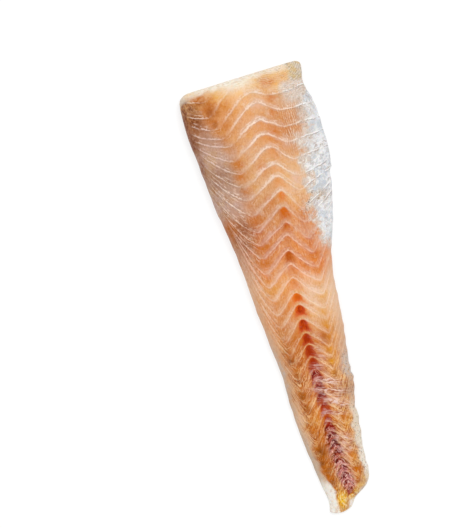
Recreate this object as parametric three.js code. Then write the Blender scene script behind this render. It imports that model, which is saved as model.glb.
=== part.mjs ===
// Kingklip fillet: the boned tail half of one side of the fish, lying flat with its bone side up.
// Millimetres. +Y points to the wide head end, +X to the belly edge and +Z up from the surface it lies on.
// The origin is under the middle of the fillet, on that surface.
import * as THREE from "three";

// Driving dimensions
const LENGTH = 360; // head cut to tail tip
const HEAD_SLANT = 5.5; // the back corner of the head cut stands this far behind the belly corner
const HEAD_CURVE = 1.1; // power that bows the head cut
const BACK_CORNER = { length: 6, share: 0.08 }; // rounding of its corners: length, and share of the width
const BELLY_CORNER = { length: 4.5, share: 0.06 };
const HEAD_ROUND = 17; // length over which the head end rounds down to the cut face
const HEAD_EDGE_SHARE = 0.55; // share of the height that the cut face keeps at the head end
const TUCK = 2.2; // how far the underside draws in from the outline, all round

// The outline and the crown at stations along the fillet, counted from the head end:
// [station, back edge, belly edge, crown height], both edges measured from the spine line.
const STATIONS = [
  [0, 52, 48.5, 25],
  [8, 53.2, 48, 25.4],
  [18, 54.3, 46.7, 26],
  [35, 54.4, 51.4, 26.5],
  [60, 51.7, 53.6, 26.5],
  [85, 48.6, 53, 25.5],
  [105, 45.8, 49.4, 24.5],
  [130, 41.2, 43.6, 23.5],
  [155, 37.7, 36.2, 22],
  [175, 35.8, 33, 21],
  [205, 32.2, 32, 18.5],
  [230, 28.8, 29.6, 16.5],
  [245, 27.2, 28, 15.3],
  [260, 26.9, 28.5, 14.3],
  [282, 25.5, 24.3, 12.8],
  [292, 24.6, 24.9, 12],
  [318, 20.7, 22.3, 10],
  [335, 18, 22.2, 8],
  [343, 16.2, 17.8, 6.6],
  [350, 15.4, 8.6, 5],
  [360, 16.8, 0.8, 3.2],
];
const [BACK, BELLY, CROWN] = [1, 2, 3];

// Cross-section: how much of the width each edge takes to round up to the crown, and how thick the edge is.
const BACK_ROUND = { head: 0.44, tail: 0.5 };
const BELLY_ROUND = { head: 0.8, tail: 0.5 };
const BELLY_FLAP_END = 175; // the thin belly flap has thickened to a round edge by this station
const BACK_RIM = { head: 4.2, tail: 1 };
const BELLY_RIM = { head: 2, tail: 1 };

// The groove that the backbone left along the spine line
const SPINE_DEPTH = { head: 0.5, tail: 1.7 };
const SPINE_HALF_WIDTH = 5;
const SPINE_DEEP_FROM = 180;

// Muscle flakes: their spacing along the spine, and the W that each one folds into across the width.
// A fold is [share of the width, tailward offset at the head, offset at mid-length, offset at the tail].
const FLAKE_PITCH = { head: 12.6, tail: 8.6 };
const PITCH_CURVE = 1.3;
const FOLDS = [
  [0, 14, -20, -14],
  [0.26, 22, 16, 18],
  [0.53, 0, 0, 0],
  [0.76, 10, 17.5, 14],
  [1, 5, -4, -9],
];
const FOLD_EASE = 45; // the folds straighten out over this length before each end
const FLAKE_STEPS = [-0.5, 0.35, 0.15]; // relief of one flake, tailward from the groove at its seam
const FLAKE_EDGE = 0.14; // share of the width over which the relief dies out towards an edge

// Slow unevenness of the flesh: waves of [height, wavelength across, wavelength along, phase]
const WAVES = [
  [0.5, 62, 88, 0.9],
  [0.35, 37, 53, 2.1],
];

const COLUMNS = 28;
const ROWS_PER_FLAKE = FLAKE_STEPS.length;

const FLESH = new THREE.MeshStandardMaterial({ color: 0xe3a66c, roughness: 0.38, metalness: 0 });

const { clamp, lerp, smoothstep } = THREE.MathUtils;
const TURN = 2 * Math.PI;

// A smooth curve through rows that start with their station: cubic, with its slope at each row
// taken from the two neighbours.
function through(rows, column, at) {
  const last = rows.length - 1;
  const next = clamp(rows.findIndex((row) => row[0] >= at), 1, last);
  const slope = (i) => {
    const [before, after] = [rows[Math.max(i - 1, 0)], rows[Math.min(i + 1, last)]];
    return (after[column] - before[column]) / (after[0] - before[0]);
  };
  const [a, b] = [rows[next - 1], rows[next]];
  const span = b[0] - a[0];
  const u = clamp((at - a[0]) / span, 0, 1);
  const ease = u * u * (3 - 2 * u);
  const leaving = u * (1 - u) * (1 - u) * span * slope(next - 1);
  const arriving = u * u * (u - 1) * span * slope(next);
  return lerp(a[column], b[column], ease) + leaving + arriving;
}

const outline = (station, column) => through(STATIONS, column, clamp(station, 0, LENGTH));
const roundUp = (share) => Math.sqrt(1 - Math.pow(1 - clamp(share, 0, 1), 2));
const between = (ends, share) => lerp(ends.head, ends.tail, clamp(share, 0, 1));

// The station where the head cut lies, at a share of the width counted from the back edge
function headLine(across) {
  const corner = ({ length, share }, inward) => length * (1 - roundUp(inward / share));
  const corners = corner(BACK_CORNER, across) + corner(BELLY_CORNER, 1 - across);
  return HEAD_SLANT * Math.pow(1 - across, HEAD_CURVE) + corners;
}

// How far tailward a flake lies at this share of the width, against where it crosses the spine
function foldOffset(station, across) {
  const share = station / LENGTH;
  const shape = FOLDS.map(([at, head, middle, tail]) => [
    at,
    share < 0.5 ? lerp(head, middle, share * 2) : lerp(middle, tail, share * 2 - 1),
  ]);
  const ease = smoothstep(station, 0, FOLD_EASE) * smoothstep(LENGTH - station, 0, FOLD_EASE);
  return ease * through(shape, 1, across);
}

// Where each row of the surface crosses the spine, a fixed number of rows to every flake
function rowStations() {
  const stations = [0];
  let at = 0;
  while (at < LENGTH) {
    at += between(FLAKE_PITCH, Math.pow(at / LENGTH, PITCH_CURVE)) / ROWS_PER_FLAKE;
    stations.push(at);
  }
  return stations.map((station) => (station * LENGTH) / at);
}

const columnShares = () =>
  Array.from({ length: COLUMNS + 1 }, (_, i) => {
    const even = i / COLUMNS;
    return lerp(even, 0.5 - 0.5 * Math.cos(Math.PI * even), 0.6); // closer together towards the edges
  });

function rimHeight(station, across) {
  const share = station / LENGTH;
  return lerp(between(BACK_RIM, share), between(BELLY_RIM, share), across);
}

// Height of the bone side at a station and a share of the width, with relief the height of the flakes there
function topHeight(station, across, x, relief) {
  const flap = station / BELLY_FLAP_END;
  const back = roundUp(across / between(BACK_ROUND, flap));
  const belly = roundUp((1 - across) / between(BELLY_ROUND, flap));
  const head = lerp(HEAD_EDGE_SHARE, 1, roundUp((station - headLine(across)) / HEAD_ROUND));
  const crown = outline(station, CROWN) * head;
  const rim = Math.min(rimHeight(station, across), crown);
  const depth = between(SPINE_DEPTH, station / SPINE_DEEP_FROM);
  const spine = depth * Math.exp(-Math.pow(x / SPINE_HALF_WIDTH, 2));
  const inside = smoothstep(Math.min(across, 1 - across), 0, FLAKE_EDGE);
  const thick = smoothstep(crown, 0, outline(LENGTH / 2, CROWN));
  const uneven = WAVES.reduce((sum, [height, wide, long, phase]) => {
    const sideways = Math.sin((TURN * x) / wide + phase);
    const lengthways = Math.sin((TURN * station) / long + phase);
    return sum + height * sideways * lengthways;
  }, 0);
  return rim + (crown - rim) * back * belly + inside * thick * (relief - spine + uneven);
}

// The grid of points on the bone side, a row for each station and a column for each share of the width
function topGrid() {
  const shares = columnShares();
  return rowStations().map((spineStation, row) =>
    shares.map((across) => {
      const head = headLine(across);
      const plain = head + ((LENGTH - head) * spineStation) / LENGTH;
      const station = clamp(plain + foldOffset(spineStation, across), 0, LENGTH);
      const x = lerp(-outline(station, BACK), outline(station, BELLY), across);
      const relief = FLAKE_STEPS[row % ROWS_PER_FLAKE];
      return new THREE.Vector3(x, LENGTH / 2 - station, topHeight(station, across, x, relief));
    }),
  );
}

// Positions in the grid that run once round its border, anticlockwise seen from above
function borderOf(rows, columns) {
  const border = [];
  for (let row = 0; row < rows; row++) border.push([row, 0]);
  for (let column = 0; column < columns; column++) border.push([rows, column]);
  for (let row = rows; row > 0; row--) border.push([row, columns]);
  for (let column = columns; column > 0; column--) border.push([0, column]);
  return border;
}

// The closed solid: the bone side, a tucked-in edge band and the flat underside
function filletGeometry() {
  const grid = topGrid();
  const rows = grid.length - 1;
  const points = grid.flat();
  const numberOf = (row, column) => row * (COLUMNS + 1) + column;
  const triangles = [];

  for (let row = 0; row < rows; row++) {
    for (let column = 0; column < COLUMNS; column++) {
      const [a, b] = [numberOf(row, column), numberOf(row, column + 1)];
      const [c, d] = [numberOf(row + 1, column), numberOf(row + 1, column + 1)];
      triangles.push(a, c, b, b, c, d);
    }
  }

  const rim = borderOf(rows, COLUMNS);
  const firstFoot = points.length;
  const shorten = 1 - (2 * TUCK) / LENGTH;
  const foot = rim.map(([row, column]) => {
    const edge = grid[row][column];
    const inward = TUCK * (1 - (2 * column) / COLUMNS);
    return new THREE.Vector2(edge.x + inward, edge.y * shorten);
  });
  for (const { x, y } of foot) points.push(new THREE.Vector3(x, y, 0));

  rim.forEach(([row, column], i) => {
    const after = (i + 1) % rim.length;
    const [a, b] = [numberOf(row, column), numberOf(...rim[after])];
    triangles.push(a, firstFoot + i, b, b, firstFoot + i, firstFoot + after);
  });

  for (const [a, b, c] of THREE.ShapeUtils.triangulateShape(foot, []))
    triangles.push(firstFoot + a, firstFoot + c, firstFoot + b);

  const geometry = new THREE.BufferGeometry().setFromPoints(points).setIndex(triangles);
  geometry.computeBoundingBox();
  const middle = geometry.boundingBox.getCenter(new THREE.Vector3());
  geometry.translate(-middle.x, -middle.y, 0);
  geometry.computeVertexNormals();
  return geometry;
}

const fillet = new THREE.Mesh(filletGeometry(), FLESH);
fillet.name = "fillet";

const part = new THREE.Group();
part.add(fillet);

export default part;
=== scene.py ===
import math

import bpy
import numpy as np
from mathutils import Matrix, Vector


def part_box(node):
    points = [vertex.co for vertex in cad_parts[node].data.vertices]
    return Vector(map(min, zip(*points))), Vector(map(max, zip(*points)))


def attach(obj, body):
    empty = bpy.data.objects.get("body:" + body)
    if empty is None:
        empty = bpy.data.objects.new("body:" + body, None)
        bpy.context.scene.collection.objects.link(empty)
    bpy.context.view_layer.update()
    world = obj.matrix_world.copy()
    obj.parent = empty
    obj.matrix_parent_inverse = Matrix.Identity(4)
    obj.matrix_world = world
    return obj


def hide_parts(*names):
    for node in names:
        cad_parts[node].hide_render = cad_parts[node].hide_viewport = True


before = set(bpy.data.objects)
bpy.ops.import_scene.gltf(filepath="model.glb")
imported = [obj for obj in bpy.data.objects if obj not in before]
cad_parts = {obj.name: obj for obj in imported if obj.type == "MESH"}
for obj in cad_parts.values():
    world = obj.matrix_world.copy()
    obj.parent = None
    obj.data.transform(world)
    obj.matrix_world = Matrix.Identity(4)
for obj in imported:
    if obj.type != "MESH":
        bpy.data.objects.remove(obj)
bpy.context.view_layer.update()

MM = 0.001
SEED = 17

# Outline and cross-section, the same as the solid's
LENGTH = 360.0
HEAD_SLANT = 5.5
HEAD_CURVE = 1.1
BACK_CORNER = (6.0, 0.08)  # rounding of the head cut's corners: length, and share of the width
BELLY_CORNER = (4.5, 0.06)
HEAD_ROUND = 17.0
HEAD_EDGE_SHARE = 0.55
TAIL_BOW = 2.5  # the corners of the tail tip stand this far back from its middle
TAIL_CURVE = 2.5
TUCK = 2.2  # how far the edge leans in on its way down to the underside
# [station, back edge, belly edge, crown height]
STATIONS = np.array([
    [0, 52, 48.5, 25],
    [8, 53.2, 48, 25.4],
    [18, 54.3, 46.7, 26],
    [35, 54.4, 51.4, 26.5],
    [60, 51.7, 53.6, 26.5],
    [85, 48.6, 53, 25.5],
    [105, 45.8, 49.4, 24.5],
    [130, 41.2, 43.6, 23.5],
    [155, 37.7, 36.2, 22],
    [175, 35.8, 33, 21],
    [205, 32.2, 32, 18.5],
    [230, 28.8, 29.6, 16.5],
    [245, 27.2, 28, 15.3],
    [260, 26.9, 28.5, 14.3],
    [282, 25.5, 24.3, 12.8],
    [292, 24.6, 24.9, 12],
    [318, 20.7, 22.3, 10],
    [335, 18, 22.2, 8],
    [343, 16.2, 17.8, 6.6],
    [350, 15.4, 8.6, 5],
    [360, 16.8, 0.8, 3.2],
])
BACK, BELLY, CROWN = 1, 2, 3
BACK_ROUND = (0.44, 0.5)  # share of the width over which an edge rounds up, at the head and past the flap
BELLY_ROUND = (0.8, 0.5)
BELLY_FLAP_END = 175.0
BACK_RIM = (4.2, 1.0)  # height of an edge, at the head and at the tail
BELLY_RIM = (2.0, 1.0)
SPINE_DEPTH = (0.5, 1.7)  # of the spine groove, at the head and where it is deepest
SPINE_HALF_WIDTH = 5.0
SPINE_DEEP_FROM = 180.0
WAVES = ((0.5, 62, 88, 0.9), (0.35, 37, 53, 2.1))  # uneven dome: height, length across and along, phase
RELIEF_EDGE = 0.14  # share of the width over which relief fades out at an edge

# What the knife left, finer than the solid
KNIFE_FRAY = 0.35
TAIL_FRAY = 0.6
FLAP_STEP = 1.4

# Flake seams: where each one crosses the spine, and how dark the muscle just behind it is there
SEAMS = np.array([
    [-33, 0], [-21, 0], [-9, 0], [3, 0], [17, 0], [25.5, 0.05], [39.7, 0.25], [51.3, 0.25], [62.5, 0.22],
    [76.2, 0.22], [86.3, 0.35], [98.7, 0.5], [110.3, 0.9], [123.2, 0.6], [134, 0.25], [146.4, 0.9],
    [157.7, 0.35], [168.7, 0.3], [180.5, 0.9], [190.5, 1], [202, 1], [213, 1], [222.5, 1], [233.5, 1],
    [243.5, 0.9], [253, 0.7], [261.5, 0.8], [270, 0.9], [279.5, 0.5], [287, 0.8], [295, 0.5], [302.5, 0.5],
    [309, 0.4], [315.5, 0.4], [322, 0.4], [328.5, 0.4], [335, 0.35], [341, 0.5], [347, 0], [353, 0],
    [359, 0], [365, 0], [371, 0], [377, 0],
])
SEAM_STATIONS, SEAM_DARK = SEAMS.T
# How a seam folds across the width, at stations along the spine:
# [station, peak side, back valley side, its drop, arm slope, arm bend,
#  belly valley side, its drop, arm slope]
FOLDS = np.array([
    [3, 2, -32, 25.5, 0.08, 0.010, 14, 3, 0.10],
    [15.5, 3, -28.5, 23, 0.10, 0.0135, 17, 6, 0.12],
    [24, 5, -25.5, 23.5, 0.12, 0.012, 22, 11, 0.05],
    [39, 5, -22, 16.5, 0.12, 0.012, 23.5, 11, 0.08],
    [51, 7, -21, 16, 0.20, 0.016, 24, 12.5, 0.15],
    [62, 8.5, -19, 16.5, 0.28, 0.020, 24.5, 15, 0.20],
    [76, 8.5, -18.5, 14, 0.33, 0.022, 24.5, 15, 0.30],
    [98, 8.2, -17.5, 16, 0.50, 0.024, 22, 18, 0.60],
    [110, 7.2, -17, 17.5, 0.60, 0.026, 21.5, 18.5, 0.80],
    [133, 4.5, -18.5, 15.5, 0.85, 0.040, 21.5, 19, 1.20],
    [157, 1.2, -19.5, 15.5, 1.00, 0.100, 22, 19, 1.60],
    [200, -0.5, -17, 16.5, 1.00, 0.100, 18, 17.5, 1.90],
    [250, 0, -14, 17.5, 1.20, 0.100, 13, 13.5, 2.00],
    [290, 0.5, -13, 18.5, 1.40, 0.100, 12, 13, 2.00],
    [345, 4, -8, 18, 1.60, 0.100, 12, 11.5, 2.00],
])
PEAK_SIDE, BACK_SIDE, BACK_DROP, BACK_SLOPE, BACK_BEND, BELLY_SIDE, BELLY_DROP, BELLY_SLOPE = range(1, 9)
BACK_PEAK_ROUND = ((0, 10), (40, 7), (90, 4.5), (125, 2), (165, 2), (190, 3.5), (360, 4))
BELLY_PEAK_ROUND = ((0, 5), (90, 3), (125, 1.5), (165, 1.5), (190, 3), (360, 4))
BELLY_BOW = ((20, 0), (50, 0.2), (90, 0.35), (170, 0.35), (200, 0))  # how far the belly arms bow tailward
VALLEY_ROUND = 3.0
# How seams stray from their folds: distance, length of a stray, seed
SEAM_STRAYS = ((0.8, 11, 14), (0.3, 5, 15))

# Heights of the relief on the plain surface, and the half width of the groove along a seam
FLAKE = 0.3
SEAM_GROOVE = 0.32
SEAM_GROOVE_HALF_WIDTH = 0.8
WEDGE_PIT = 0.55
BLOOD_PIT = 0.35
STRANDS = 0.3
MEMBRANE = 0.22
WRINKLES = ((0.3, 0.6, 4.2, 6), (0.14, 1, 1.7, 7))  # height, squeeze across, size, seed
LUMPS = ((0.16, 1, 9, 3), (0.07, 1, 3, 4))

# Mesh density
ROWS = 640
COLUMNS = 124
COLUMN_CROWDING = 0.6  # how much closer the columns stand towards the edges
BAND_RINGS = 6
BAND_LEAN = 1.1  # how far tailward a seam runs for each millimetre that it goes down the edge


def lerp(a, b, share):
    return a + (b - a) * share


def rise(value, low, high):
    """0 below low, 1 above high and a smooth step between; low may be the larger one."""
    share = np.clip((value - low) / (high - low), 0, 1)
    return share * share * (3 - 2 * share)


def span(value, start, full, until, end):
    """0 up to start, 1 from full to until and 0 again after end."""
    return rise(value, start, full) * rise(value, end, until)


def hump(value, middle, half):
    return np.exp(-(((value - middle) / half) ** 2))


def less(value, *shares):
    """Value with each of the shares taken off it in turn."""
    for share in shares:
        value = value * (1 - share)
    return value


def along(station, *pairs):
    """Straight lines through (station, value) pairs."""
    return np.interp(station, [p[0] for p in pairs], [p[1] for p in pairs])


def through(rows, column, at):
    """Cubic curve through rows that start with their station; a row's neighbours give its slope there."""
    place, value = rows[:, 0], rows[:, column]
    slope = np.gradient(value, place)
    slope[1:-1] = (value[2:] - value[:-2]) / (place[2:] - place[:-2])
    at = np.clip(at, place[0], place[-1])
    i = np.clip(np.searchsorted(place, at) - 1, 0, len(place) - 2)
    step = place[i + 1] - place[i]
    u = (at - place[i]) / step
    leaving = u * (1 - u) ** 2 * step * slope[i]
    arriving = u * u * (u - 1) * step * slope[i + 1]
    return lerp(value[i], value[i + 1], u * u * (3 - 2 * u)) + leaving + arriving


def noise(x, y, cell, seed):
    """Smooth noise from -1 to 1 with lumps of the size of cell, the same on every run."""
    size = 256
    lattice = np.random.default_rng(SEED + seed).uniform(-1, 1, (size, size))
    x, y = np.asarray(x) / cell, np.asarray(y) / cell
    i, j = np.floor(x).astype(int), np.floor(y).astype(int)
    u, v = rise(x - i, 0, 1), rise(y - j, 0, 1)
    near = lerp(lattice[i % size, j % size], lattice[(i + 1) % size, j % size], u)
    far = lerp(lattice[i % size, (j + 1) % size], lattice[(i + 1) % size, (j + 1) % size], u)
    return lerp(near, far, v)


def round_up(share):
    return np.sqrt(1 - (1 - np.clip(share, 0, 1)) ** 2)


def between(ends, share):
    return lerp(ends[0], ends[1], np.clip(share, 0, 1))


# Shape of the fillet

def head_line(across):
    """Station of the head cut, with its two corners rounded."""
    line = HEAD_SLANT * (1 - across) ** HEAD_CURVE
    for (length, share), inward in ((BACK_CORNER, across), (BELLY_CORNER, 1 - across)):
        line = line + length * (1 - round_up(inward / share))
    return line


def tail_line(across):
    return LENGTH - TAIL_BOW * np.abs(2 * across - 1) ** TAIL_CURVE


def edges(station):
    """Back and belly edge, ragged from the knife, with a step in the belly flap and a loose tail edge."""
    fray = KNIFE_FRAY * rise(station, 0, 40)
    loose = TAIL_FRAY * rise(station, 235, 250)
    step = FLAP_STEP * span(station, 89, 90.5, 92, 108) - 0.4 * hump(station, 82, 6)
    back = through(STATIONS, BACK, station) - fray * (1 + noise(station, 0 * station, cell=7, seed=1))
    belly = through(STATIONS, BELLY, station) - fray * (1 + noise(station, 0 * station, cell=5, seed=2))
    return back, belly - step + loose * noise(station, 0 * station, cell=4, seed=8)


def plain_height(station, across, side):
    """Height of the bone side without flakes, the same as the solid's, and how freely relief stands on it."""
    flap = station / BELLY_FLAP_END
    back = round_up(across / between(BACK_ROUND, flap))
    belly = round_up((1 - across) / between(BELLY_ROUND, flap))
    head = lerp(HEAD_EDGE_SHARE, 1, round_up((station - head_line(across)) / HEAD_ROUND))
    crown = through(STATIONS, CROWN, station) * head
    share = station / LENGTH
    rim = np.minimum(lerp(between(BACK_RIM, share), between(BELLY_RIM, share), across), crown)
    depth = between(SPINE_DEPTH, station / SPINE_DEEP_FROM)
    spine = depth * hump(side, 0, SPINE_HALF_WIDTH)
    inside = rise(np.minimum(across, 1 - across), 0, RELIEF_EDGE)
    thick = rise(crown, 0, through(STATIONS, CROWN, np.array(LENGTH / 2)))
    free = inside * thick
    turn = 2 * math.pi
    uneven = 0
    for height, wide, long, phase in WAVES:
        uneven = uneven + height * np.sin(turn * side / wide + phase) * np.sin(turn * station / long + phase)
    return rim + (crown - rim) * back * belly + free * (uneven - spine), free


# Flakes

def fold(station, column):
    return through(FOLDS, column, station)


def rounded(distance, radius):
    """Distance from a corner, with the corner rounded off."""
    return np.sqrt(distance**2 + radius**2) - radius


def arm_drop(away, width, drop, slope, bend, peak_round, bow):
    """How far tailward one arm of a seam lies: bowed down to its valley, then back up towards the edge."""
    share = rounded(away, peak_round) / rounded(width, peak_round)
    inner = drop * share * (1 + bow * (1 - share))
    past = away - width
    outer = drop - slope * past - bend * np.maximum(past, 0) ** 2
    return 0.5 * (inner + outer - np.sqrt((inner - outer) ** 2 + VALLEY_ROUND**2))


def seam_drop(station, side):
    """How far tailward a seam lies at this side, against where it crosses the spine."""
    peak = fold(station, PEAK_SIDE)
    back = arm_drop(
        np.maximum(peak - side, 0), peak - fold(station, BACK_SIDE), fold(station, BACK_DROP),
        fold(station, BACK_SLOPE), fold(station, BACK_BEND), along(station, *BACK_PEAK_ROUND), 0)
    belly = arm_drop(
        np.maximum(side - peak, 0), fold(station, BELLY_SIDE) - peak, fold(station, BELLY_DROP),
        fold(station, BELLY_SLOPE), 0, along(station, *BELLY_PEAK_ROUND), along(station, *BELLY_BOW))
    strays = sum(distance * noise(side, station, cell, seed) for distance, cell, seed in SEAM_STRAYS)
    return np.where(side < peak, back, belly) + strays


def spine_station(station, side):
    """Where the seam through this point crosses the spine, found in rounds."""
    at = station
    for _ in range(12):
        at = station - seam_drop(at, side)
    return at


def flake_phase(station, side):
    """A number that grows by one from seam to seam."""
    return np.interp(spine_station(station, side), SEAM_STATIONS, np.arange(len(SEAMS)))


def flake_pitch(station, side):
    """Distance between seams, square to them, 50 mm at most."""
    step = 0.5
    ds = (flake_phase(station + step, side) - flake_phase(station - step, side)) / (2 * step)
    dx = (flake_phase(station, side + step) - flake_phase(station, side - step)) / (2 * step)
    return 1 / np.maximum(np.hypot(ds, dx), 0.02)


# Tissue: where each kind of flesh lies, as shares from 0 to 1

# Places of each kind: [side, station, half width, half length, share]
PLACES = {
    "orange": (
        (-34, 14, 4.5, 4, 0.7), (-43, 11, 6, 3, 0.6), (-31, 23, 8, 8, 1), (-30, 34, 4, 5, 0.9),
        (-20, 24, 8, 8, 0.7), (-22, 36, 5, 6, 0.6), (-30, 14, 5, 4, 0.6), (-26, 48, 4, 4, 0.3),
        (-22, 58, 4, 3.5, 0.1), (-20, 70, 4.5, 4, 0.75), (-20, 80, 4.5, 4, 0.8), (-18, 93, 4, 3, 0.4),
        (-38, 120, 6, 8, 1), (-39, 13, 8, 5, 1), (-10, 310, 5, 8, 1), (-11, 325, 5, 7, 1),
        (-10, 190, 6, 7, 0.5), (-7, 300, 4, 9, 0.8), (-17, 117, 5, 4, 0.8), (-16, 140, 6, 3.5, 1),
        (-18, 152, 6, 3.5, 1), (-19, 164, 5, 4, 0.2), (14, 52, 5, 6, 0.9), (23, 51, 4, 4, 0.5),
        (-2, 78, 4, 5, 0.7), (-2, 105, 4, 5, 0.6), (14, 160, 4, 6, 0.8), (13, 220, 6, 7, 1),
        (17, 35, 2.5, 4, 0.7), (18, 25, 5, 3, 0.6), (19, 12, 7, 3.5, 0.7), (31, 10, 4, 2, 0.3),
        (21, 131, 5, 4, 0.2), (22, 155, 5, 4.5, 0.6), (21, 165, 4, 4, 0.4), (-16, 217, 4, 4, 0.4),
        (-16, 228, 4, 5, 0.6), (-15, 240, 4, 5, 0.6), (-14, 262, 5, 6, 0.8), (-13, 275, 4, 6, 0.5),
        (-13, 290, 4.5, 6, 0.8), (-13, 305, 5, 5, 0.9), (-13, 318, 5, 5, 1), (-10, 331, 5, 5, 1),
        (10, 268, 4, 4, 0.4), (13, 286, 4, 4, 0.7), (13, 300, 4, 5, 0.5), (12, 316, 4, 5, 0.7),
        (13, 329, 4.5, 5, 1), (11, 338, 5, 3.5, 1), (-10, 220, 5, 6, 1),
    ),
    "brown": (
        (-32, 25, 4, 5, 0.5), (-30, 35, 2.5, 3, 0.5), (-46, 28, 7, 9, 1),
        (-52, 22, 4, 16, 1), (-46, 19, 8, 7, 0.8), (-38, 16, 6, 5, 0.45), (-30, 24, 5, 5, 0.4),
        (38, 46, 5, 5, 0.25), (-42, 20, 6, 6, 0.5), (-50.5, 46, 4, 14, 0.9), (-49, 66, 3.5, 12, 0.7),
        (-49, 13.5, 4.5, 4, 0.9), (-39, 121, 4, 5, 0.5), (-35, 128, 3, 5, 0.6), (-36, 77, 10, 7, 0.3),
        (-53, 30, 3, 16, 1), (-30, 121, 9, 7, 0.4), (-29, 134, 6, 7, 0.4), (-17.5, 232, 2.5, 4, 0.65),
        (-20, 225, 3, 3, 0.3), (-15, 246, 2, 4, 0.4), (-15, 262, 3, 4, 0.6), (-13, 273, 3, 4, 0.4),
        (-14, 318, 4, 3, 0.9), (-11, 309, 5, 5, 0.8), (12, 339, 3.5, 2, 0.45), (-8, 335, 3, 3, 0.6),
        (24.5, 237, 1.5, 2, 0.4), (23, 266, 4, 6, 0.95), (14, 252, 4, 4, 0.35), (17, 265, 6, 6, 0.5),
        (-10, 326, 4, 5, 0.45), (16, 308, 3, 2, 0.5), (13, 221, 4, 5, 0.35), (-10, 220, 4, 5, 0.12),
        (14, 236, 4, 5, 0.12), (14, 326, 3, 3, 0.3),
    ),
    "golden": (
        (-22, 13, 8, 5, 0.9), (-5, 15, 3, 3, 0.5), (13, 5, 6, 3, 0.7), (24, 7, 5, 3, 0.3),
        (25, 15, 4, 3, 0.9), (12, 90, 7, 8, 0.3), (24, 82, 5, 5, 0.3), (19, 176, 5, 4, 0.5),
        (20, 190, 4, 4, 0.6), (18, 200, 5, 4.5, 0.7), (18, 212, 5, 5, 0.9), (22, 221, 4, 5, 0.9),
        (17, 220, 5, 4, 0.9), (16, 231, 5, 5, 1), (15, 241, 5, 4, 1), (14, 250, 5, 3, 0.4),
        (-19, 174, 7, 5, 0.6), (14, 290, 4, 4, 0.6), (13, 319, 3.5, 4, 0.8), (-9, 284, 3, 6, 0.6),
        (-4, 351, 4.5, 7, 1), (19, 337, 4, 2.5, 1), (13, 341.5, 4, 2.5, 1), (8, 346, 4, 2.5, 0.8),
        (4, 350, 3, 3, 0.6), (35, 9, 4, 3, 0.35),
    ),
    "pale": (
        (5, 28, 5, 6, 0.7), (-30, 97, 6, 10, 0.3), (-40, 50, 6, 10, 0.1), (-24, 106, 6, 6, 0.3),
        (22, 92, 5, 7, 0.75), (22, 62, 5, 6, 0.5), (23, 76, 5, 6, 0.5), (-10, 40, 5, 6, 0.2),
        (-10, 60, 5, 8, 0.3), (-21, 61, 4, 5, 0.2), (14, 182, 5, 9, 0.4), (5, 240, 5, 12, 0.4),
        (-2, 160, 4, 4, 0.6), (2, 38, 5, 4, 0.4), (29, 146, 5, 6, 0.6), (-9, 205, 4, 4, 0.6),
        (6, 190, 4, 6, 0.4), (22, 134, 5, 5, 0.5), (6, 70, 4, 8, 0.3), (8, 314, 4, 12, 0.5),
        (7, 251, 3, 5, 0.9), (13, 190, 6, 6, 0.3),
    ),
    "stain": (
        (39, 38, 5, 5, 0.9), (40, 62, 5, 6, 0.7), (38, 110, 6, 5, 0.8), (41, 45, 4, 4, 0.9),
        (47, 38, 4, 5, 0.3), (40, 74, 4, 4, 0.3),
    ),
}
# Torn shreds, placed by a line that leans tailward from the spine to the belly edge
TORN_LEAN = 0.28
TORN_PLACES = (
    (7, 203.5, 4, 3, 0.3), (7, 215, 4, 3, 0.3), (7, 226, 4, 3, 0.35), (7, 233, 4, 2.5, 0.4),
    (3, 240.7, 7, 1.8, 0.45), (9, 253, 8, 2.8, 1), (9, 260.5, 13, 2, 1), (8, 263.5, 7, 2.4, 0.9),
    (9, 269, 8, 3, 1), (15, 270.5, 6, 2.6, 0.9), (7, 279, 7, 1.5, 0.8), (9, 300.5, 6, 4, 0.9),
    (9, 308.5, 5, 2.5, 0.6),
)
BLOOD_SIDE = ((240, -1), (290, -0.5), (310, 0.5), (325, 2), (345, 5))
HATCH_LEAN = 0.9  # how far tailward the strands of the blood line run for each millimetre off it


def spots(places, side, station):
    share = np.zeros_like(station)
    for at_side, at_station, wide, long, most in places:
        share = np.maximum(share, most * hump(side, at_side, wide) * hump(station, at_station, long))
    return share


def in_parts(station, side, back_valley, peak, belly_valley, *tables):
    """A value that changes along the fillet in four strips: back edge, back, belly and belly edge."""
    back_edge, back, belly, belly_edge = (along(station, *table) for table in tables)
    value = lerp(back_edge, back, rise(side, back_valley - 4, back_valley + 3))
    value = lerp(value, belly, rise(side, peak - 2, peak + 4))
    return lerp(value, belly_edge, rise(side, belly_valley - 3, belly_valley + 3))


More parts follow.
